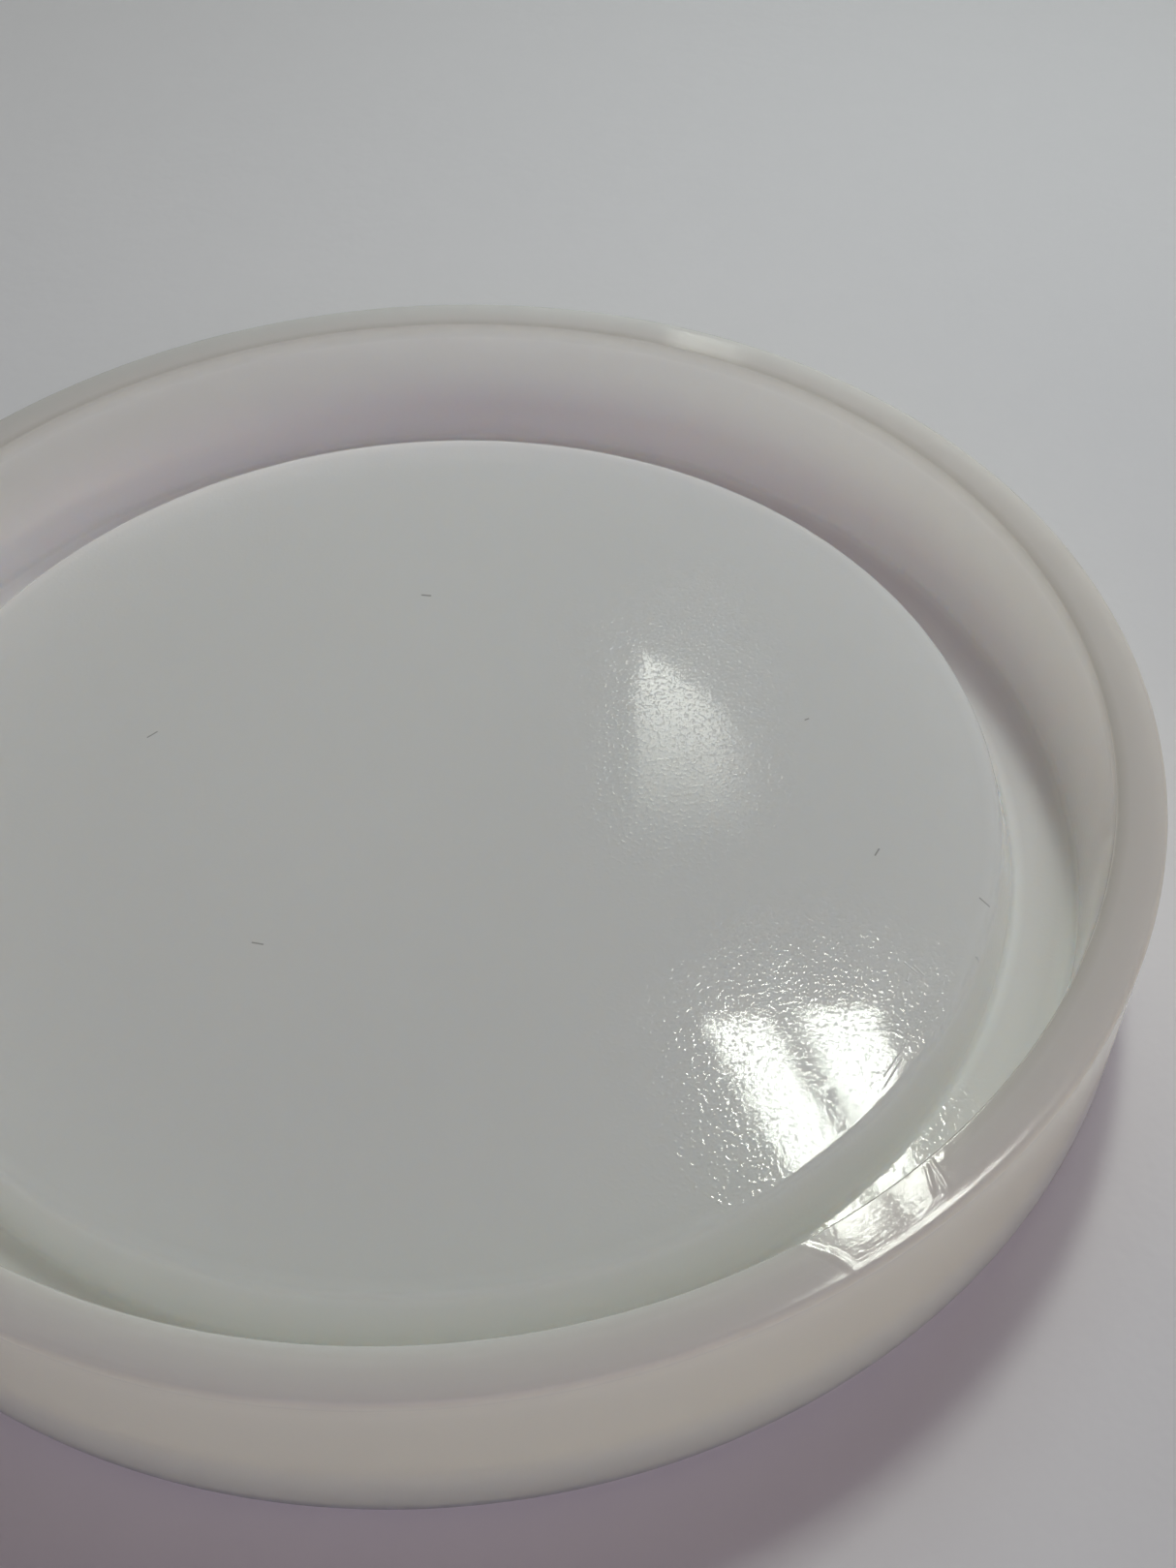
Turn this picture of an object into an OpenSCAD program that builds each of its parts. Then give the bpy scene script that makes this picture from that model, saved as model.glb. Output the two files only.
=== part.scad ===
// Open silicone mould that casts a round resin disc with a raised lip.
//
// The moulding is one piece of soft silicone. It is drawn here as its three natural
// regions, which meet face to face on one level plane just above the channel floor:
//   base_sheet     the level sheet that carries the channel floor and its rounded corners
//   raised_centre  the flat disc that forms the dish of the casting
//   side_wall      the upright ring with the flat rim
// The origin is the centre of the underside, and +Z points out of the open mould.
// All sizes are in millimetres.

/* [Casting] */
// Diameter of the cast disc at the channel floor
casting_d = 100; // [80:1:120]
// Width of the channel floor, which casts the lip
lip_w = 5; // [4.6:0.2:8]
// Depth of the mould from the rim to the channel floor
lip_h = 12.6; // [9:0.2:16]
// Height of the raised centre above the channel floor
dish_h = 4.6; // [3:0.2:7]

/* [Silicone] */
// Thickness of the sheet under the channel
floor_t = 2.4; // [1.6:0.2:4]
// Width of the flat rim, with its rounded outer edge
rim_w = 3.6; // [2.6:0.1:6]

/* [Draft and edges] */
// How far the inner wall leans outwards from the channel floor to the rim
wall_lean = 0.4; // [0:0.1:1]
// How far the side of the raised centre leans inwards from its foot to its top
centre_lean = 1.5; // [0.5:0.1:2.5]
// Radius of the rounded top edge of the raised centre
centre_edge_r = 0.6; // [0.3:0.1:2]
// Radius of the rounded corners of the channel floor
channel_r = 0.5; // [0.3:0.1:1]
// Radius of the rounded outer edge of the rim
rim_edge_r = 0.4; // [0.2:0.1:1]
// Radius of the rounded edge of the underside
base_edge_r = 0.5; // [0.2:0.1:1]

/* [Hidden] */
$fn = 180;

silicone = [0.80, 0.80, 0.77];

// Heights
total_h = floor_t + lip_h;
centre_top_z = floor_t + dish_h;
joint_z = floor_t + channel_r;

// Radii on the channel floor, at the rim and on top of the raised centre
wall_foot_r = casting_d / 2;
centre_foot_r = wall_foot_r - lip_w;
centre_top_r = centre_foot_r - centre_lean;
rim_inner_r = wall_foot_r + wall_lean;
outer_r = rim_inner_r + rim_w;

// Angles of the two leaning sides, away from vertical
wall_angle = atan(wall_lean / lip_h);
centre_angle = atan(centre_lean / dish_h);

// Distance that a cutting shape runs past the face it cuts through
past = 1;

// Radius of the inner wall at height z
function wall_r(z) = wall_foot_r + (z - floor_t) * tan(wall_angle);

// Radius of the side of the raised centre at height z
function centre_r(z) = centre_foot_r - (z - floor_t) * tan(centre_angle);

// Distance from a corner to where an arc of radius r touches each of its two sides
function setback(r, corner_angle) = r / tan(corner_angle / 2);

// Sliver outside the arc of radius r at the square outer corner (x, z) of a section, to be cut away.
// up is 1 for the top corner of a section and -1 for the bottom one.
module edge_rounding(x, z, r, up) {
    difference() {
        translate([x - r, up > 0 ? z - r : z])
            square(r);
        translate([x - r, z - up * r])
            circle(r);
    }
}

// Section of the channel: level floor, rounded corners and leaning sides
module channel_section() {
    wall_corner = 90 + wall_angle;
    centre_corner = 90 + centre_angle;
    wall_arc_x = wall_foot_r - setback(channel_r, wall_corner);
    centre_arc_x = centre_foot_r + setback(channel_r, centre_corner);
    arc_z = floor_t + channel_r;
    top_z = joint_z + past;
    wall_touch = [wall_arc_x + channel_r * cos(wall_angle), arc_z - channel_r * sin(wall_angle)];
    centre_touch = [centre_arc_x - channel_r * cos(centre_angle), arc_z - channel_r * sin(centre_angle)];
    polygon([
        [centre_arc_x, floor_t],
        [wall_arc_x, floor_t],
        wall_touch,
        [wall_r(top_z), top_z],
        [centre_r(top_z), top_z],
        centre_touch
    ]);
    translate([wall_arc_x, arc_z])
        circle(channel_r);
    translate([centre_arc_x, arc_z])
        circle(channel_r);
}

// Level sheet under the whole mould, with the channel sunk into its top
module base_sheet() {
    color(silicone)
        rotate_extrude()
            difference() {
                square([outer_r, joint_z]);
                edge_rounding(outer_r, 0, base_edge_r, -1);
                channel_section();
            }
}

// Flat disc that forms the dish, with a leaning side and a rounded top edge
module raised_centre() {
    corner = 90 + centre_angle;
    back = setback(centre_edge_r, corner);
    arc = [centre_top_r - back, centre_top_z - centre_edge_r];
    side_touch = [arc[0] + centre_edge_r * cos(centre_angle), arc[1] + centre_edge_r * sin(centre_angle)];
    color(silicone)
        rotate_extrude() {
            polygon([
                [0, joint_z],
                [centre_r(joint_z), joint_z],
                side_touch,
                [arc[0], centre_top_z],
                [0, centre_top_z]
            ]);
            translate(arc)
                circle(centre_edge_r);
        }
}

// Upright ring with a leaning inner face, a flat rim and a rounded outer edge
module side_wall() {
    color(silicone)
        rotate_extrude()
            difference() {
                polygon([
                    [wall_r(joint_z), joint_z],
                    [outer_r, joint_z],
                    [outer_r, total_h],
                    [rim_inner_r, total_h]
                ]);
                edge_rounding(outer_r, total_h, rim_edge_r, 1);
            }
}

base_sheet();
raised_centre();
side_wall();
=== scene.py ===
"""Looks of the resin casting mould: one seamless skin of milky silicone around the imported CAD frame.

The CAD holds the mould as three regions that meet face to face. The real mould is one moulding, so one
closed skin stands for all three here, and its section is worked out from the CAD's own radii and heights.
"""

import math

import bpy
from mathutils import Matrix, Vector, noise


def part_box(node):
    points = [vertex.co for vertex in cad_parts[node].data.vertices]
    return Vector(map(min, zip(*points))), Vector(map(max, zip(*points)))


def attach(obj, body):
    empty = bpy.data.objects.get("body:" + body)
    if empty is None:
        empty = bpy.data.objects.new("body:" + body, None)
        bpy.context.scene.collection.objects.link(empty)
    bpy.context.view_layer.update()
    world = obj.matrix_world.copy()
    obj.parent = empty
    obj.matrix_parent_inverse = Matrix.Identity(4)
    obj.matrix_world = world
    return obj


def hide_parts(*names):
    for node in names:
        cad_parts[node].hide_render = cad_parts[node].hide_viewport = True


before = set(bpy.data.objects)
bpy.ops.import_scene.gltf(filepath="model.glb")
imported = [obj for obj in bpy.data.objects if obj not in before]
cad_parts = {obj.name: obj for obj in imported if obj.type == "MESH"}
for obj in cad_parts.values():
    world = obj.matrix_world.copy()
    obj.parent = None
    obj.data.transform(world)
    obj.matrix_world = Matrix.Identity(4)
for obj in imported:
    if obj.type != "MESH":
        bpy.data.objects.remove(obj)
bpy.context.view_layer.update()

MM = 0.001

# ------------------------------------------------------------------ sizes, read from the CAD frame


def radii_at(node, z):
    """Smallest and largest radius of a CAD node's vertices at height z."""
    near = 0.01 * MM
    radii = [
        math.hypot(v.co.x, v.co.y)
        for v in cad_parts[node].data.vertices
        if abs(v.co.z - z) < near
    ]
    return min(radii), max(radii)


def extended(high, low, z):
    """Radius at height z on the straight side that runs through the points high and low, each (r, z)."""
    return low[0] + (high[0] - low[0]) * (z - low[1]) / (high[1] - low[1])


def widest(node, low, high):
    """Radius and height of the CAD node's widest vertex whose height lies between low and high."""
    return max(
        (math.hypot(v.co.x, v.co.y), v.co.z)
        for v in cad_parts[node].data.vertices
        if low < v.co.z < high
    )


OUTER_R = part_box("base_sheet")[1].x
RIM_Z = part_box("side_wall")[1].z
JOINT_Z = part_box("side_wall")[0].z
CENTRE_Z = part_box("raised_centre")[1].z

# Radii of the rounded corners
CHANNEL_ROUND = 0.5 * MM
CENTRE_ROUND = 0.6 * MM
RIM_INNER_ROUND = 0.12 * MM
RIM_OUTER_ROUND = 0.45 * MM
BASE_ROUND = 0.5 * MM

CHANNEL_Z = JOINT_Z - CHANNEL_ROUND
RIM_INNER_R = radii_at("side_wall", RIM_Z)[0]
WALL_JOINT_R = radii_at("side_wall", JOINT_Z)[0]
WALL_FOOT_R = extended((RIM_INNER_R, RIM_Z), (WALL_JOINT_R, JOINT_Z), CHANNEL_Z)

CENTRE_JOINT = (radii_at("raised_centre", JOINT_Z)[1], JOINT_Z)
CENTRE_SHOULDER = widest("raised_centre", CENTRE_Z - CENTRE_ROUND, CENTRE_Z - 0.3 * CENTRE_ROUND)
CENTRE_TOP_R = extended(CENTRE_SHOULDER, CENTRE_JOINT, CENTRE_Z)
CENTRE_FOOT_R = extended(CENTRE_SHOULDER, CENTRE_JOINT, CHANNEL_Z)

# ------------------------------------------------------------------ camera

CAMERA_PLACE = (0, -96.3 * MM, 110.4 * MM)
# Width of the sensor and focal length of the lens, in millimetres
CAMERA_SENSOR = 36
CAMERA_LENS = 41.5
# Degrees that the camera looks to the right, looks down and leans over
CAMERA_TURN = 7.1
CAMERA_DOWN = 47.5
CAMERA_ROLL = 0.8


def make_camera():
    """Camera close in front of and above the mould, which runs out of the picture on the left."""
    data = bpy.data.cameras.new("camera")
    data.sensor_width = CAMERA_SENSOR
    data.lens = CAMERA_LENS
    data.clip_start = 10 * MM
    data.clip_end = 20
    camera = bpy.data.objects.new("camera", data)
    place = Matrix.Translation(CAMERA_PLACE)
    turn = Matrix.Rotation(math.radians(-CAMERA_TURN), 4, "Z")
    tilt = Matrix.Rotation(math.radians(90 - CAMERA_DOWN), 4, "X")
    roll = Matrix.Rotation(math.radians(-CAMERA_ROLL), 4, "Z")
    camera.matrix_world = place @ turn @ tilt @ roll
    bpy.context.scene.collection.objects.link(camera)
    bpy.context.scene.camera = camera


# ------------------------------------------------------------------ mesh of the skin

# Number of faces round the mould
TURNS = 720
# Width of the raised bead along the outer edge of the rim
BEAD_WIDTH = 0.9 * MM

# Corners of the section: radius, height, rounding, and the longest mesh edge on the way to the next one
SECTION = [
    (0, CENTRE_Z, 0, 2.4 * MM),
    (CENTRE_TOP_R, CENTRE_Z, CENTRE_ROUND, 0.8 * MM),
    (CENTRE_FOOT_R, CHANNEL_Z, CHANNEL_ROUND, 0.8 * MM),
    (WALL_FOOT_R, CHANNEL_Z, CHANNEL_ROUND, 0.9 * MM),
    (RIM_INNER_R, RIM_Z, RIM_INNER_ROUND, 0.35 * MM),
    (OUTER_R - BEAD_WIDTH, RIM_Z, 0, 0.08 * MM),
    (OUTER_R, RIM_Z, RIM_OUTER_ROUND, 0.9 * MM),
    (OUTER_R, 0, BASE_ROUND, 5 * MM),
    (0, 0, 0, 0),
]
# Number of edges that each rounded corner is made of
ARC_STEPS = 6
# Width of the first face beside a rounded corner, which keeps the rest of the side looking flat
GUARD = 0.05 * MM


def arc_at(before, corner, after, radius):
    """Points of the arc that rounds off a corner and touches both of its sides."""
    to_before = (before - corner).normalized()
    to_after = (after - corner).normalized()
    half = to_before.angle(to_after) / 2
    middle = corner + (to_before + to_after).normalized() * (radius / math.sin(half))
    start = corner + to_before * (radius / math.tan(half))
    spoke = start - middle
    sweep = math.copysign(math.pi - 2 * half, to_after.cross(to_before))
    return [
        middle + Matrix.Rotation(sweep * k / ARC_STEPS, 2) @ spoke
        for k in range(ARC_STEPS + 1)
    ]


def skin_section():
    """Half section of the whole mould, from the middle of its top to the middle of its underside.

    Gives its points, and the index of the point at the middle of each row of SECTION.
    """
    corners = [Vector(row[:2]) for row in SECTION]
    points = [corners[0]]
    middles = [0]
    for k in range(1, len(SECTION)):
        pitch = SECTION[k - 1][3]
        radius = SECTION[k][2]
        arc = arc_at(corners[k - 1], corners[k], corners[k + 1], radius) if radius else [corners[k]]
        onward = (arc[0] - points[-1]).normalized() * GUARD
        if SECTION[k - 1][2]:
            points.append(points[-1] + onward)
        start = points[-1]
        stop = arc[0] - onward if radius else arc[0]
        pieces = math.ceil((stop - start).length / pitch)
        points.extend(start.lerp(stop, n / pieces) for n in range(1, pieces + 1))
        if radius:
            points.append(arc[0])
        # The arc's first point is the last of the list here
        middles.append(len(points) - 1 + len(arc) // 2)
        points.extend(arc[1:])
    return points, middles


def running_lengths(points):
    """Distance along the section from its first point to each of its points."""
    lengths = [0.0]
    for a, b in zip(points, points[1:]):
        lengths.append(lengths[-1] + (b - a).length)
    return lengths


def stations():
    """Distance along the section, from the middle of the top, to the middle of each of its corners."""
    points, middles = skin_section()
    lengths = running_lengths(points)
    return [lengths[k] for k in middles]


CENTRE_EDGE, CENTRE_FOOT, WALL_FOOT, RIM_INNER, BEAD_START, RIM_OUTER, BASE_EDGE = stations()[1:-1]


def lathe(name, section):
    """Closed mesh of the section turned about Z, with its middle points as poles."""
    rings = section[1:-1]
    verts = [(0, 0, section[0].y)]
    for point in rings:
        for k in range(TURNS):
            a = math.tau * k / TURNS
            verts.append((point.x * math.cos(a), point.x * math.sin(a), point.y))
    verts.append((0, 0, section[-1].y))
    faces = []
    last_ring = 1 + (len(rings) - 1) * TURNS
    for k in range(TURNS):
        j = (k + 1) % TURNS
        faces.append((0, 1 + k, 1 + j))
        for first in range(1, last_ring, TURNS):
            below = first + TURNS
            faces.append((first + k, below + k, below + j, first + j))
        faces.append((last_ring + k, len(verts) - 1, last_ring + j))
    mesh = bpy.data.meshes.new(name)
    mesh.from_pydata(verts, [], faces)
    mesh.polygons.foreach_set("use_smooth", [True] * len(mesh.polygons))
    return mesh


def add_to_scene(name, mesh):
    thing = bpy.data.objects.new(name, mesh)
    bpy.context.scene.collection.objects.link(thing)
    return thing


def smooth_step(x, low, high):
    t = min(max((x - low) / (high - low), 0), 1)
    return t * t * (3 - 2 * t)


def wave(angle, size, seed):
    """Smooth noise round the mould, from 0 to 1, whose waves are about size long at the wall."""
    reach = OUTER_R / size
    at = Vector((reach * math.cos(angle), reach * math.sin(angle), seed))
    return 0.5 + 0.5 * noise.noise(at)


# Depths by which the real surfaces fall short of the perfect form
RIM_DIP = 0.020 * MM
BEAD_HEIGHT = 0.02 * MM
WALL_DIP = 0.06 * MM
FACE_DIP = 0.03 * MM


def sink_at(x, y, along):
    """How far a point of the skin lies below its perfect height, on the raised centre and the rim."""
    angle = math.atan2(y, x)
    patch = 0.5 + 0.5 * noise.noise(Vector((x, y, 0)) / (18 * MM))
    on_face = 1 - smooth_step(along, CENTRE_EDGE - 2 * MM, CENTRE_EDGE)
    on_rim = smooth_step(along, RIM_INNER - 3 * MM, RIM_INNER - 0.5 * MM)
    on_rim *= 1 - smooth_step(along, RIM_OUTER + 0.4 * MM, RIM_OUTER + 2 * MM)
    bead = smooth_step(along, BEAD_START + 0.05 * MM, RIM_OUTER - 0.25 * MM)
    crest = 1 - 0.5 * wave(angle, 5 * MM, 7.0)
    rim_sink = RIM_DIP * wave(angle, 18 * MM, 1.0) + BEAD_HEIGHT * (1 - bead * crest)
    return on_face * FACE_DIP * patch + on_rim * rim_sink


def pull_at(x, y, z, along):
    """How far a point of the outside lies inside its perfect radius."""
    on_outside = smooth_step(along, RIM_OUTER - 0.5 * MM, RIM_OUTER + 0.5 * MM)
    on_outside *= 1 - smooth_step(along, BASE_EDGE - 2 * MM, BASE_EDGE)
    swell = 0.5 + 0.5 * noise.noise(Vector((x, y, 2 * z)) / (12 * MM))
    return on_outside * WALL_DIP * (0.6 * wave(math.atan2(y, x), 30 * MM, 4.0) + 0.4 * swell)


def uneven(point, along):
    """Where a point of the perfect form lies on the real one, which is slightly uneven, always inwards."""
    radius = max(math.hypot(point.x, point.y), MM)
    shrink = 1 - pull_at(*point, along) / radius
    return point.x * shrink, point.y * shrink, point.z - sink_at(point.x, point.y, along)


def make_skin():
    """The whole moulding as one closed skin. Its attribute "along" is the distance along the section."""
    section, _ = skin_section()
    mesh = lathe("silicone_skin", section)
    lengths = running_lengths(section)
    along = [lengths[0]]
    for length in lengths[1:-1]:
        along.extend([length] * TURNS)
    along.append(lengths[-1])
    mesh.attributes.new("along", "FLOAT", "POINT").data.foreach_set("value", along)
    for vertex, distance in zip(mesh.vertices, along):
        vertex.co = uneven(vertex.co, distance)
    mesh.update()
    return add_to_scene("silicone_skin", mesh)


# ------------------------------------------------------------------ shader helpers


class Shader:
    """A material and short ways to add nodes to it."""

    def __init__(self, name):
        self.material = bpy.data.materials.new(name)
        self.material.use_nodes = True
        self.tree = self.material.node_tree
        self.surface = self.tree.nodes["Principled BSDF"]
        self.place = self.tree.nodes.new("ShaderNodeTexCoord").outputs["Object"]

    def feed(self, socket, value):
        """Links value to the socket if it is another node's output, or sets it."""
        if isinstance(value, bpy.types.NodeSocket):
            self.tree.links.new(value, socket)
        else:
            socket.default_value = value

    def math(self, operation, a, b=0.0):
        node = self.tree.nodes.new("ShaderNodeMath")
        node.operation = operation
        self.feed(node.inputs[0], a)
        self.feed(node.inputs[1], b)
        return node.outputs[0]

    def vector(self, operation, a, b=(0, 0, 0)):
        node = self.tree.nodes.new("ShaderNodeVectorMath")
        node.operation = operation
        self.feed(node.inputs[0], a)
        self.feed(node.inputs[1], b)
        return node.outputs["Value" if operation in ("LENGTH", "DISTANCE") else "Vector"]

    def fit(self, value, low, high, to_low, to_high, smooth=False):
        """Value moved from the range low..high to to_low..to_high, and held at its ends."""
        node = self.tree.nodes.new("ShaderNodeMapRange")
        node.interpolation_type = "SMOOTHSTEP" if smooth else "LINEAR"
        for socket, number in zip(node.inputs, (value, low, high, to_low, to_high)):
            self.feed(socket, number)
        return node.outputs[0]

    def noise(self, size, detail=2.0, rough=0.5, place=None, seed=0.0):
        """Noise from 0 to 1 with features about size across, in metres."""
        node = self.tree.nodes.new("ShaderNodeTexNoise")
        node.noise_dimensions = "4D"
        self.feed(node.inputs["Vector"], place or self.place)
        node.inputs["W"].default_value = seed
        node.inputs["Scale"].default_value = 1 / size
        node.inputs["Detail"].default_value = detail
        node.inputs["Roughness"].default_value = rough
        return node.outputs["Fac"]

    def mix(self, share, a, b):
        """Colour that goes from a to b as share goes from 0 to 1."""
        node = self.tree.nodes.new("ShaderNodeMix")
        node.data_type = "RGBA"
        self.feed(node.inputs["Factor"], share)
        self.feed(node.inputs["A"], a)
        self.feed(node.inputs["B"], b)
        return node.outputs["Result"]

    def ramp(self, value, stops):
        """Colour or grey level that follows value through (value, colour) stops. Values span under 0.2."""
        span = 5
        node = self.tree.nodes.new("ShaderNodeValToRGB")
        self.feed(node.inputs["Fac"], self.math("MULTIPLY", value, span))
        elements = node.color_ramp.elements
        elements.remove(elements[1])
        for k, (at, colour) in enumerate(stops):
            element = elements.new(at * span) if k else elements[0]
            element.position = at * span
            element.color = (*colour, 1) if isinstance(colour, tuple) else (colour, colour, colour, 1)
        return node.outputs["Color"]

    def bump(self, height, distance):
        """Normal of the surface with the height map, raised by distance metres for each unit of it."""
        node = self.tree.nodes.new("ShaderNodeBump")
        node.inputs["Distance"].default_value = distance
        self.feed(node.inputs["Height"], height)
        return node.outputs["Normal"]

    def stroke(self, x, y, degrees, length, width):
        """Mask of a short straight stroke that lies across X and Y, 1 on it and 0 off it."""
        node = self.tree.nodes.new("ShaderNodeMapping")
        node.vector_type = "TEXTURE"
        node.inputs["Location"].default_value = (x, y, 0)
        node.inputs["Rotation"].default_value = (0, 0, math.radians(degrees))
        self.feed(node.inputs["Vector"], self.place)
        split = self.tree.nodes.new("ShaderNodeSeparateXYZ")
        self.feed(split.inputs[0], node.outputs[0])
        past_end = self.math("SUBTRACT", self.math("ABSOLUTE", split.outputs["X"]), length / 2)
        along = self.math("POWER", self.math("MAXIMUM", past_end, 0.0), 2.0)
        across = self.math("POWER", split.outputs["Y"], 2.0)
        distance = self.math("POWER", self.math("ADD", along, across), 0.5)
        return self.fit(distance, 0.0, width, 1.0, 0.0, smooth=True)

    def strokes(self, marks):
        """Mask of several strokes together."""
        mask = self.stroke(*marks[0])
        for mark in marks[1:]:
            mask = self.math("MAXIMUM", mask, self.stroke(*mark))
        return mask

    def turning_marks(self, size, stretch):
        """Noise of fine short grooves that run round the Z axis, as a lathe leaves on the master."""
        flat = self.vector("MULTIPLY", self.place, (1, 1, 0))
        radius = self.vector("LENGTH", flat)
        reach = OUTER_R / stretch
        around = self.vector("MULTIPLY", self.vector("NORMALIZE", flat), (reach, reach, 0))
        out = self.tree.nodes.new("ShaderNodeCombineXYZ")
        self.feed(out.inputs["Z"], radius)
        return self.noise(size, 1.0, 0.6, place=self.vector("ADD", around, out.outputs[0]))


# ------------------------------------------------------------------ materials

# Dark lint that clings to the raised centre: x, y, direction in degrees, length and width
LINT = [
    (32.2 * MM, -12.2 * MM, 52, 0.7 * MM, 0.11 * MM),
    (38.8 * MM, -18.0 * MM, -62, 1.0 * MM, 0.10 * MM),
    (36.9 * MM, -22.9 * MM, -70, 0.25 * MM, 0.16 * MM),
    (0.9 * MM, 21.5 * MM, -15, 0.7 * MM, 0.16 * MM),
    (18.9 * MM, 0.8 * MM, 0, 0.05 * MM, 0.18 * MM),
    (-13.9 * MM, -14.3 * MM, -20, 0.8 * MM, 0.10 * MM),
    (30.0 * MM, 2.2 * MM, 20, 0.3 * MM, 0.11 * MM),
    (-22.0 * MM, 8.0 * MM, 35, 0.9 * MM, 0.10 * MM),
]

# Fine scratches near the edge of the raised centre, pressed in as shallow grooves and painted with pale
# glints
SCRATCHES = [
    (32.0 * MM, -23.0 * MM, -58, 1.2 * MM, 0.10 * MM),
    (32.5 * MM, -23.3 * MM, -62, 1.0 * MM, 0.10 * MM),
    (31.6 * MM, -23.8 * MM, 60, 0.6 * MM, 0.10 * MM),
    (29.0 * MM, -30.4 * MM, 48, 3.2 * MM, 0.07 * MM),
    (28.6 * MM, -31.4 * MM, 50, 2.6 * MM, 0.07 * MM),
]

# Creases across the rim, where the poured silicone crept over the edge of its master
CREASES = [
    (19.0 * MM, -47.6 * MM, -27, 2.2 * MM, 0.5 * MM),
    (20.5 * MM, -48.7 * MM, -45, 1.6 * MM, 0.6 * MM),
    (26.7 * MM, -44.0 * MM, -92, 1.6 * MM, 0.3 * MM),
    (27.4 * MM, -43.8 * MM, -75, 2.0 * MM, 0.3 * MM),
    (27.9 * MM, -42.8 * MM, 30, 0.4 * MM, 0.5 * MM),
    (36.4 * MM, -35.4 * MM, -50, 1.2 * MM, 0.5 * MM),
    (45.0 * MM, 25.5 * MM, 20, 1.8 * MM, 0.35 * MM),
    (-13.0 * MM, 50.4 * MM, 80, 2.0 * MM, 0.35 * MM),
    (-47.0 * MM, -22.5 * MM, 40, 1.8 * MM, 0.40 * MM),
    (-22.0 * MM, -47.2 * MM, 55, 2.2 * MM, 0.35 * MM),
]

# Pale milky silicone, with light and shade painted in by part: the corners, the edge and side of the
# raised centre, the inner wall and the foot are painted lighter to cancel their shade, and the rim is
# painted darker
CENTRE_COLOUR = (0.85, 0.85, 0.84)
# Painted light: the side of the raised centre, in the shade of the channel, is lighter than its top
SIDE_PAINTED_LIGHT = (0.91, 0.91, 0.90)
CHANNEL_COLOUR = (0.81, 0.80, 0.79)
# Painted light: a thin lighter band along the edge of the raised centre, against the shade of its rounding
EDGE_PAINTED_LIGHT = (0.96, 0.96, 0.95)
# Painted light: near white at the feet of the raised centre and of the wall, to cancel the shade in these
# corners
CORNER_PAINTED_LIGHT = (0.99, 0.99, 0.97)
# Painted light: the inner wall is lighter and warmer than the flat top, for light that shines through the
# silicone onto it
WALL_PAINTED_LIGHT = (0.93, 0.92, 0.86)
# Painted shade: a darker band along the inner edge of the rim
RIM_INNER_PAINTED_SHADE = (0.42, 0.41, 0.38)
# Painted shade: the rim top is much darker than the rest of the silicone
RIM_PAINTED_SHADE = (0.54, 0.53, 0.51)
# Painted shade: the bead along the outer edge of the rim is kept as dark as the rim
BEAD_PAINTED_SHADE = (0.56, 0.55, 0.52)
# Partly the warm tone of thick silicone, partly painted warm light that the table throws on the outside
OUTSIDE_WARMTH_AND_LIGHT = (0.91, 0.83, 0.67)
# Painted light: the lowest part of the outside is near white, to cancel the shade next to the table
FOOT_PAINTED_LIGHT = (0.99, 0.97, 0.94)

CLOUD_COLOUR = (0.78, 0.76, 0.70)
LINT_COLOUR = (0.06, 0.06, 0.055)
# Painted highlight: pale glints along the scratches
SCRATCH_GLINT_COLOUR = (0.99, 0.99, 0.99)
# Shares of these three that are laid over the silicone's own colour
CLOUD_SHARE = 0.06
LINT_SHARE = 0.6
SCRATCH_GLINT_SHARE = 0.6

# How far light spreads inside each part of the silicone, and the shares of that for red, green and blue
CENTRE_REACH = 25 * MM
CHANNEL_REACH = 4 * MM
WALL_REACH = 25 * MM
BEAD_REACH = 15 * MM
FOOT_REACH = 12 * MM
REACH_SHARES = (1.0, 0.9, 0.8)
SILICONE_IOR = 1.41

# Sizes across of the patterns on the surface
CLOUD_SIZE = 22 * MM
SMUDGE_SIZE = 9 * MM
PEEL_SIZE = 0.35 * MM
SWELL_SIZE = 7 * MM
TURNING_SIZE = 0.18 * MM
# How many times as long as wide the turning marks are
TURNING_STRETCH = 10

# Heights of the fine texture of the surface
PEEL_HEIGHT = 0.0030 * MM
SWELL_HEIGHT = 0.010 * MM
TURNING_HEIGHT = 0.0030 * MM
SCRATCH_DEPTH = 0.015 * MM
CREASE_HEIGHT = 0.010 * MM

# Roughness of the smooth surface, and what is added to it by smudges and on the other parts
GLOSS = 0.04
SMUDGE_ROUGH = 0.04
EDGE_ROUGH = 0.08
RIM_ROUGH = 0.01
BEAD_ROUGH = 0.10
OUTSIDE_ROUGH = 0.06
BASE_ROUGH = 0.30


def silicone():
    """Milky silicone whose look follows the skin's attribute "along" from part to part."""
    s = Shader("milky_silicone")
    read = s.tree.nodes.new("ShaderNodeAttribute")
    read.attribute_name = "along"
    along = read.outputs["Fac"]
    on_top = s.ramp(along, [(CENTRE_EDGE - 0.5 * MM, 1.0), (CENTRE_EDGE, 0.0)])
    scratch_and_glint = s.math("MULTIPLY", s.strokes(SCRATCHES), on_top)
    s.feed(s.surface.inputs["Base Color"], silicone_colour(s, along, on_top, scratch_and_glint))
    s.feed(s.surface.inputs["Subsurface Scale"], silicone_reach(s, along))
    s.surface.inputs["Subsurface Weight"].default_value = 1.0
    s.surface.inputs["Subsurface Radius"].default_value = REACH_SHARES
    s.surface.inputs["IOR"].default_value = SILICONE_IOR
    s.feed(s.surface.inputs["Roughness"], silicone_roughness(s, along))
    s.feed(s.surface.inputs["Normal"], s.bump(silicone_height(s, along, scratch_and_glint), 1.0))
    return s.material


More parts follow.
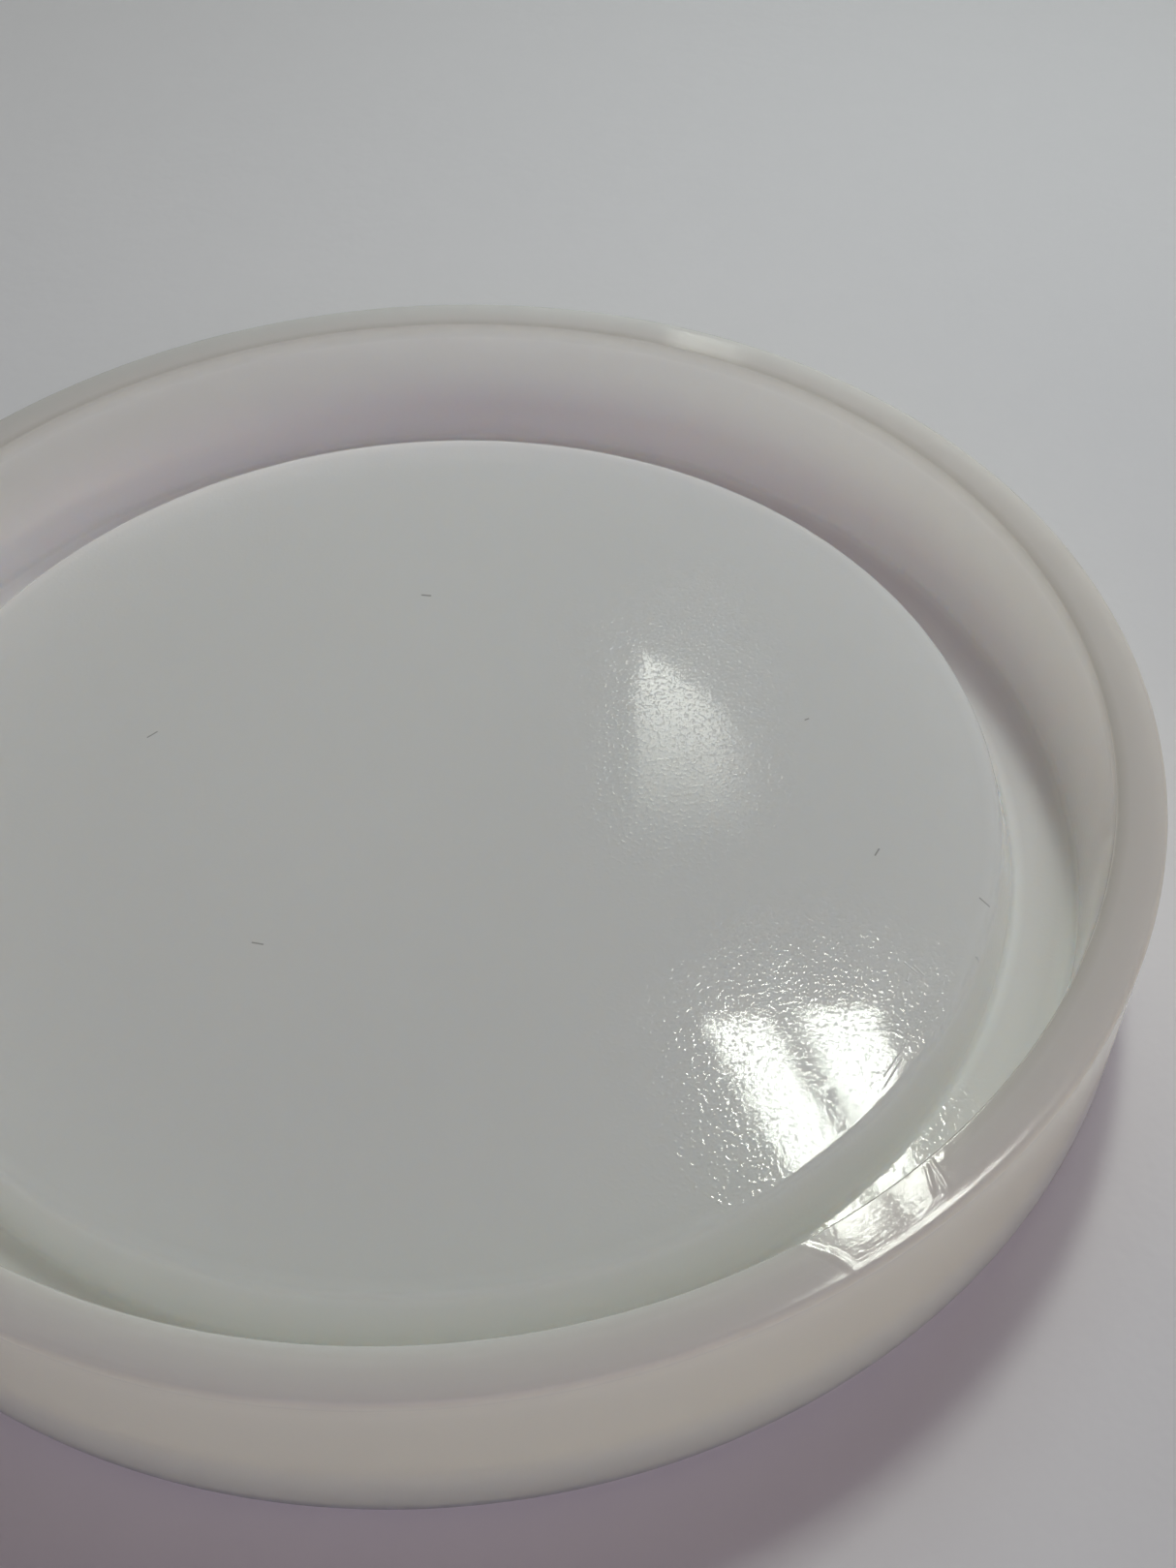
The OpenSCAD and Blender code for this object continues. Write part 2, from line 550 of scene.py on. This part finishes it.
def silicone_colour(s, along, on_top, scratch_and_glint):
    """Colour of each part, with light and shade painted in by part, faint clouds, and lint and scratches
    with painted pale glints on the raised centre.
    """
    # Painted light and shade: lighter corners, edge, sides, inner wall and foot, a darker rim, and warm
    # light on the outside
    colour = s.ramp(along, [
        (CENTRE_EDGE - 0.8 * MM, CENTRE_COLOUR),
        (CENTRE_EDGE - 0.1 * MM, EDGE_PAINTED_LIGHT),
        (CENTRE_EDGE + 0.7 * MM, SIDE_PAINTED_LIGHT),
        (CENTRE_FOOT - 1 * MM, SIDE_PAINTED_LIGHT),
        (CENTRE_FOOT, CORNER_PAINTED_LIGHT),
        (CENTRE_FOOT + 1 * MM, CHANNEL_COLOUR),
        (WALL_FOOT - 1 * MM, CHANNEL_COLOUR),
        (WALL_FOOT, CORNER_PAINTED_LIGHT),
        (WALL_FOOT + 4 * MM, CORNER_PAINTED_LIGHT),
        (WALL_FOOT + 9 * MM, WALL_PAINTED_LIGHT),
        (RIM_INNER - 1.2 * MM, WALL_PAINTED_LIGHT),
        (RIM_INNER - 0.1 * MM, RIM_INNER_PAINTED_SHADE),
        (RIM_INNER + 0.8 * MM, RIM_PAINTED_SHADE),
        (BEAD_START, RIM_PAINTED_SHADE),
        (BEAD_START + 0.3 * MM, BEAD_PAINTED_SHADE),
        (RIM_OUTER + 0.1 * MM, BEAD_PAINTED_SHADE),
        (RIM_OUTER + 0.6 * MM, OUTSIDE_WARMTH_AND_LIGHT),
        (BASE_EDGE - 6 * MM, OUTSIDE_WARMTH_AND_LIGHT),
        (BASE_EDGE, FOOT_PAINTED_LIGHT),
    ])
    clouds = s.fit(s.noise(CLOUD_SIZE, 3.0), 0.3, 0.7, 0.0, 1.0)
    colour = s.mix(s.math("MULTIPLY", clouds, CLOUD_SHARE), colour, (*CLOUD_COLOUR, 1))
    lint = s.math("MULTIPLY", s.strokes(LINT), on_top)
    colour = s.mix(s.math("MULTIPLY", lint, LINT_SHARE), colour, (*LINT_COLOUR, 1))
    # Painted highlight: pale glints along the scratches
    return s.mix(s.math("MULTIPLY", scratch_and_glint, SCRATCH_GLINT_SHARE), colour, (*SCRATCH_GLINT_COLOUR, 1))


def silicone_reach(s, along):
    """How far light spreads inside each part, in metres."""
    return s.ramp(along, [
        (CENTRE_EDGE, CENTRE_REACH),
        (CENTRE_FOOT, CHANNEL_REACH),
        (WALL_FOOT + 4 * MM, CHANNEL_REACH),
        (WALL_FOOT + 9 * MM, WALL_REACH),
        (BEAD_START, WALL_REACH),
        (BEAD_START + 0.3 * MM, BEAD_REACH),
        (RIM_OUTER + 0.1 * MM, BEAD_REACH),
        (RIM_OUTER + 0.6 * MM, WALL_REACH),
        (BASE_EDGE - 3 * MM, WALL_REACH),
        (BASE_EDGE - 0.5 * MM, FOOT_REACH),
    ])


def silicone_roughness(s, along):
    """Roughness of each part, with smudges all over."""
    smudges = s.fit(s.noise(SMUDGE_SIZE, 4.0, 0.6), 0.45, 0.75, GLOSS, GLOSS + SMUDGE_ROUGH, smooth=True)
    return s.math("ADD", smudges, s.ramp(along, [
        (CENTRE_EDGE - 0.3 * MM, 0.0),
        (CENTRE_EDGE, EDGE_ROUGH),
        (CENTRE_EDGE + 0.3 * MM, 0.0),
        (RIM_INNER - 0.2 * MM, 0.0),
        (RIM_INNER, RIM_ROUGH),
        (BEAD_START, RIM_ROUGH),
        (RIM_OUTER - 0.3 * MM, BEAD_ROUGH),
        (RIM_OUTER + 0.3 * MM, BEAD_ROUGH),
        (RIM_OUTER + 1 * MM, OUTSIDE_ROUGH),
        (BASE_EDGE - 1 * MM, OUTSIDE_ROUGH),
        (BASE_EDGE, BASE_ROUGH),
    ]))


def silicone_height(s, along, scratch_and_glint):
    """Height of the fine texture in metres."""
    pimples = s.fit(s.noise(PEEL_SIZE, 0.0), 0.50, 0.74, 0.0, 1.0, smooth=True)
    peel = s.math("MULTIPLY", pimples, PEEL_HEIGHT)
    peel = s.math("MULTIPLY", peel, s.ramp(along, [(WALL_FOOT, 1.0), (RIM_INNER, 0.25)]))
    swell = s.math("MULTIPLY", s.noise(SWELL_SIZE, 1.0, 0.5, seed=3.0), SWELL_HEIGHT)
    turned = s.math("MULTIPLY", s.turning_marks(TURNING_SIZE, TURNING_STRETCH), TURNING_HEIGHT)
    turned = s.math("MULTIPLY", turned, s.ramp(along, [
        (CENTRE_EDGE, 0.0),
        (CENTRE_FOOT, 0.4),
        (WALL_FOOT, 0.4),
        (RIM_INNER, 1.0),
        (RIM_OUTER, 1.0),
        (RIM_OUTER + 1 * MM, 0.0),
    ]))
    height = s.math("ADD", s.math("ADD", peel, swell), turned)
    height = s.math("SUBTRACT", height, s.math("MULTIPLY", scratch_and_glint, SCRATCH_DEPTH))
    on_rim = s.ramp(along, [
        (RIM_INNER - 0.1 * MM, 0.0),
        (RIM_INNER, 1.0),
        (RIM_OUTER, 1.0),
        (RIM_OUTER + 0.4 * MM, 0.0),
    ])
    crease = s.math("MULTIPLY", s.strokes(CREASES), on_rim)
    return s.math("ADD", height, s.math("MULTIPLY", crease, CREASE_HEIGHT))


TABLE_COLOURS = (0.78, 0.79, 0.81, 1), (0.80, 0.81, 0.83, 1)
TABLE_MOTTLE_SIZE = 6 * MM
TABLE_ROUGH = 0.55
TABLE_GRAIN_SIZE = 2.5 * MM
TABLE_GRAIN_HEIGHT = 0.10 * MM


def pale_table():
    """Plain pale table that fades into the room's own brightness away from the mould."""
    s = Shader("pale_table")
    mottle = s.noise(TABLE_MOTTLE_SIZE, 3.0, 0.6)
    colour = s.mix(mottle, *TABLE_COLOURS)
    distance = s.vector("LENGTH", s.vector("MULTIPLY", s.place, (1, 1, 0)))
    far = s.fit(distance, TABLE_LIT_R, TABLE_FADED_R, 0.0, 1.0, smooth=True)
    s.feed(s.surface.inputs["Base Color"], s.mix(far, colour, (0, 0, 0, 1)))
    s.feed(s.surface.inputs["Specular IOR Level"], s.fit(far, 0.0, 1.0, 0.5, 0.0))
    s.surface.inputs["Emission Color"].default_value = (*ROOM_COLOUR, 1)
    s.feed(s.surface.inputs["Emission Strength"], s.math("MULTIPLY", far, ROOM_SEEN))
    s.surface.inputs["Roughness"].default_value = TABLE_ROUGH
    s.feed(s.surface.inputs["Normal"], s.bump(s.noise(TABLE_GRAIN_SIZE, 2.0), TABLE_GRAIN_HEIGHT))
    return s.material


# ------------------------------------------------------------------ floor and lights

FLOOR_SIZE = 6.0
FLOOR_GAP = 0.05 * MM
CEILING_Z = 1080 * MM
LAMP_WHITE = (0.96, 1.0, 0.90)
# Brightness at the corners of the two lamps, and how soft their sides are
LAMP_LEVELS = (26, 30, 34, 34)
LAMP_SOFT_SIDES = (0.1, 0.1, 0.03)
# Number of faces along each side of a mirrored sheet
SHEET_STEPS = 16
# How bright the room is as a light, in reflections and behind the table
ROOM_LIGHT = 0.01
ROOM_MIRRORED = 0.15
ROOM_SEEN = 0.45
ROOM_COLOUR = (0.98, 0.99, 1.0)
# Radii between which the table fades into the room
TABLE_LIT_R = 0.32
TABLE_FADED_R = 0.75


def make_floor():
    """Table top just under the mould, wide enough to fade out before its edge."""
    half = FLOOR_SIZE / 2
    mesh = bpy.data.meshes.new("floor")
    corners = [(-half, -half), (half, -half), (half, half), (-half, half)]
    mesh.from_pydata([(x, y, -FLOOR_GAP) for x, y in corners], [], [(0, 1, 2, 3)])
    mesh.materials.append(pale_table())
    add_to_scene("floor", mesh)


def add_light(name, place, aim, width, length, radiance, colour, mirrored=True):
    """Area light turned by the matrix aim. Radiance is how bright its face is."""
    data = bpy.data.lights.new(name, "AREA")
    data.shape = "RECTANGLE"
    data.size = width
    data.size_y = length
    data.energy = radiance * math.pi * width * length
    data.color = colour
    light = add_to_scene(name, data)
    light.matrix_world = Matrix.Translation(place) @ aim
    light.visible_camera = False
    light.visible_glossy = mirrored


def mirrored_sheet(name, corners, levels, soft_sides):
    """Bright sheet at ceiling height that shows only as a reflection in the silicone.

    Corners, in millimetres, run round the sheet from its far left, and levels say how bright it is at each
    of them. Soft sides are the widths, as shares of the sheet, over which its left and right sides and its
    near end fade to nothing.
    """
    soft_left, soft_right, soft_end = soft_sides
    a, b, c, d = (Vector((x * MM, y * MM, CEILING_Z)) for x, y in corners)
    verts = []
    glow = []
    for row in range(SHEET_STEPS + 1):
        v = row / SHEET_STEPS
        for column in range(SHEET_STEPS + 1):
            u = column / SHEET_STEPS
            verts.append(a.lerp(b, u).lerp(d.lerp(c, u), v))
            start_level = levels[0] * (1 - u) + levels[1] * u
            end_level = levels[3] * (1 - u) + levels[2] * u
            level = start_level * (1 - v) + end_level * v
            level *= smooth_step(u, 0, soft_left) * smooth_step(1 - u, 0, soft_right)
            glow.append(level * smooth_step(1 - v, 0, soft_end))
    wide = SHEET_STEPS + 1
    faces = [
        (k, k + 1, k + 1 + wide, k + wide)
        for k in range(SHEET_STEPS * wide)
        if k % wide < SHEET_STEPS
    ]
    mesh = bpy.data.meshes.new(name)
    mesh.from_pydata(verts, [], faces)
    mesh.attributes.new("glow", "FLOAT", "POINT").data.foreach_set("value", glow)
    mesh.materials.append(glowing())
    sheet = add_to_scene(name, mesh)
    sheet.visible_camera = False
    sheet.visible_diffuse = False
    sheet.visible_shadow = False
    sheet.visible_transmission = False


def glowing():
    """Light of the strength that the mesh attribute "glow" gives."""
    material = bpy.data.materials.new("glowing")
    material.use_nodes = True
    tree = material.node_tree
    tree.nodes.remove(tree.nodes["Principled BSDF"])
    emission = tree.nodes.new("ShaderNodeEmission")
    emission.inputs["Color"].default_value = (*LAMP_WHITE, 1)
    level = tree.nodes.new("ShaderNodeAttribute")
    level.attribute_name = "glow"
    tree.links.new(level.outputs["Fac"], emission.inputs["Strength"])
    tree.links.new(emission.outputs[0], tree.nodes["Material Output"].inputs["Surface"])
    return material


def area_light(name, azimuth, elevation, distance, width, height, turn, radiance, colour, mirrored=True):
    """Soft box that faces the mould. Azimuth runs from the far side towards the right, in degrees."""
    a, e = math.radians(azimuth), math.radians(elevation)
    away = Vector((math.sin(a) * math.cos(e), math.cos(a) * math.cos(e), math.sin(e)))
    aim = away.to_track_quat("Z", "Y").to_matrix().to_4x4() @ Matrix.Rotation(math.radians(turn), 4, "Z")
    add_light(name, away * distance, aim, width, height, radiance, colour, mirrored)


def table_glow(radiance, colour):
    """Light that the pale table returns through the silicone, from a disc just under the mould."""
    data = bpy.data.lights.new("table_glow", "AREA")
    data.shape = "DISK"
    data.size = 2 * OUTER_R - 2 * MM
    data.energy = radiance * math.pi * math.pi * data.size * data.size / 4
    data.color = colour
    light = add_to_scene("table_glow", data)
    light.matrix_world = Matrix.Translation((0, 0, -0.6 * FLOOR_GAP)) @ Matrix.Rotation(math.pi, 4, "X")
    light.visible_camera = False


def make_room():
    """Room that is pale to look at but gives little light."""
    world = bpy.data.worlds.new("room")
    bpy.context.scene.world = world
    world.use_nodes = True
    nodes = world.node_tree.nodes
    links = world.node_tree.links
    back = nodes["Background"]
    back.inputs["Color"].default_value = (*ROOM_COLOUR, 1)
    path = nodes.new("ShaderNodeLightPath")
    unseen = nodes.new("ShaderNodeMapRange")
    unseen.inputs["To Min"].default_value = ROOM_LIGHT
    unseen.inputs["To Max"].default_value = ROOM_MIRRORED
    links.new(path.outputs["Is Glossy Ray"], unseen.inputs["Value"])
    strength = nodes.new("ShaderNodeMapRange")
    strength.inputs["To Max"].default_value = ROOM_SEEN
    links.new(unseen.outputs[0], strength.inputs["To Min"])
    links.new(path.outputs["Is Camera Ray"], strength.inputs["Value"])
    links.new(strength.outputs[0], back.inputs["Strength"])


def make_mirrored_sheets():
    """What the photo shows mirrored in the silicone: two lamps beside each other, and a window."""
    mirrored_sheet(
        "lamp_left", [(189, 710), (240, 704), (288, 505), (254, 488)],
        LAMP_LEVELS, LAMP_SOFT_SIDES,
    )
    mirrored_sheet(
        "lamp_right", [(256, 708), (326, 703), (320, 505), (304, 500)],
        LAMP_LEVELS, LAMP_SOFT_SIDES,
    )
    mirrored_sheet(
        "window", [(201, 1144), (290, 1016), (300, 850), (150, 880)],
        levels=(11, 6, 1.5, 4), soft_sides=(0.08, 0.5, 0.8),
    )
    mirrored_sheet(
        "window_low", [(316, 1646), (411, 1565), (380, 1500), (290, 1590)],
        levels=(6, 4, 3, 5), soft_sides=(0.2, 0.5, 0.3),
    )


def make_lights():
    """Lights on the silicone, of which reflections show only bounce_near and table_glow, and the room."""
    area_light(
        "lamps", azimuth=24.4, elevation=58.6, distance=1.26, width=0.24, height=0.1, turn=-75,
        radiance=49, colour=LAMP_WHITE, mirrored=False,
    )
    area_light(
        "close_right", azimuth=40, elevation=50, distance=0.25, width=0.12, height=0.12, turn=0,
        radiance=2.9, colour=(0.92, 0.99, 1.0), mirrored=False,
    )
    area_light(
        "low_left", azimuth=-80, elevation=38, distance=0.8, width=0.5, height=0.3, turn=0,
        radiance=0.4, colour=(1.0, 0.88, 0.62), mirrored=False,
    )
    area_light(
        "wall_right", azimuth=-95, elevation=13, distance=0.8, width=0.4, height=0.12, turn=0,
        radiance=3.2, colour=(1.0, 0.92, 0.76), mirrored=False,
    )
    area_light(
        "low_right", azimuth=115, elevation=8, distance=0.9, width=0.5, height=0.12, turn=0,
        radiance=7.0, colour=(1.0, 0.89, 0.71), mirrored=False,
    )
    area_light(
        "bounce_near", azimuth=180, elevation=45, distance=0.9, width=0.8, height=0.6, turn=0,
        radiance=0.9, colour=(0.95, 0.77, 1.04),
    )
    table_glow(radiance=0.038, colour=(0.96, 1.0, 0.55))
    make_room()


make_camera()
skin = make_skin()
skin.data.materials.append(silicone())
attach(skin, "root")
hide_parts("base_sheet", "raised_centre", "side_wall")
make_floor()
make_mirrored_sheets()
make_lights()

scene = bpy.context.scene
scene.view_settings.view_transform = "Standard"
scene.cycles.max_bounces = 24
scene.cycles.diffuse_bounces = 16
